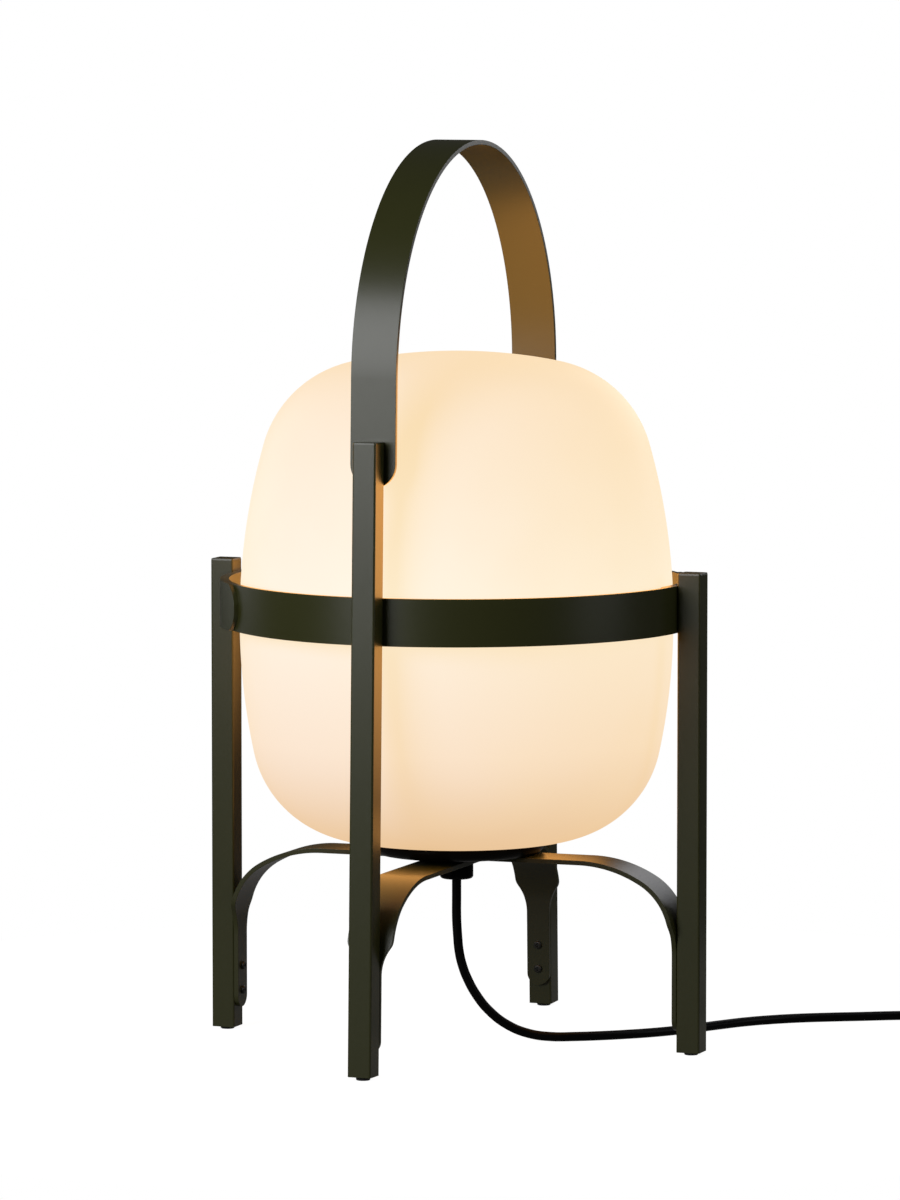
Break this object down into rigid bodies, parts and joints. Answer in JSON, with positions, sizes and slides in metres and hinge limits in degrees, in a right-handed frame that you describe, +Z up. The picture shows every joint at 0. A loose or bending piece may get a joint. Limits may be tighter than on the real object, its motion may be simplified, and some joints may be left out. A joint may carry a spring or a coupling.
{
  "type": "lantern table lamp",
  "caption": "Lantern-shaped table lamp: opal globe in a ring, held between square posts on crossing base straps, with an arched carrying handle and a mains cord.",
  "frame": {"origin": "on the floor, at the centre of the four feet", "axes": "+Z up; the handle and the two tall posts stand in the YZ plane, the two short posts in the XZ plane; the cord leaves towards +X and +Y"},
  "size_m": [0.5855, 0.3709, 0.58],
  "materials": {
    "bronze": "satin olive-bronze powder coat on steel",
    "black_screws": "blackened steel",
    "black_enamel": "semi-gloss black paint",
    "black_plastic": "fine satin moulding",
    "black_rubber": "matte",
    "cord_sheath": "smooth black sheath",
    "tie_fabric": "woven hook-and-loop strap",
    "opal_glass": "satin etched opal, lit from inside",
    "bulb_glass": "frosted",
    "brass": "plain turned",
    "bright_steel": "nickel plated"
  },
  "bodies": {
    "lamp": {"post_front": "bronze", "post_rear": "bronze", "post_left": "bronze", "post_right": "bronze", "post_caps": "bronze", "foot_glides": "black_rubber", "handle": "bronze", "handle_screws": "black_screws", "ring_front_band": "bronze", "ring_rear_band": "bronze", "ring_screws": "black_screws", "strap_short": "bronze", "strap_tall": "bronze", "strap_screws": "black_screws", "base_dish": "black_enamel", "glass_gasket": "black_rubber", "globe": "opal_glass", "threaded_nipple": "brass", "dish_lock_nut": "brass", "gland_nut": "black_enamel", "cord_grommet": "black_rubber", "lampholder_base": "black_plastic", "lampholder_sleeve": "black_plastic", "lampholder_contacts": "brass", "bulb_glass": "bulb_glass", "bulb_cap": "bright_steel", "bulb_contact": "bright_steel", "cord_lead": "cord_sheath", "cord_link": "cord_sheath", "cord_coil": "cord_sheath", "cord_tail": "cord_sheath", "coil_tie": "tie_fabric", "switch_base": "black_plastic", "switch_cover": "black_plastic", "switch_reliefs": "black_rubber", "switch_screws": "bright_steel", "plug_body": "black_plastic", "plug_pins": "bright_steel"},
    "rocker": {"switch_rocker": "black_plastic"}
  },
  "joints": [
    {"name": "rocker_tilt", "type": "hinge", "parent": "lamp", "child": "rocker", "pos_m": [0.347, 0.163, 0.011], "axis": [-0.4226, -0.9063, 0], "range_deg": [0, 14]}
  ]
}
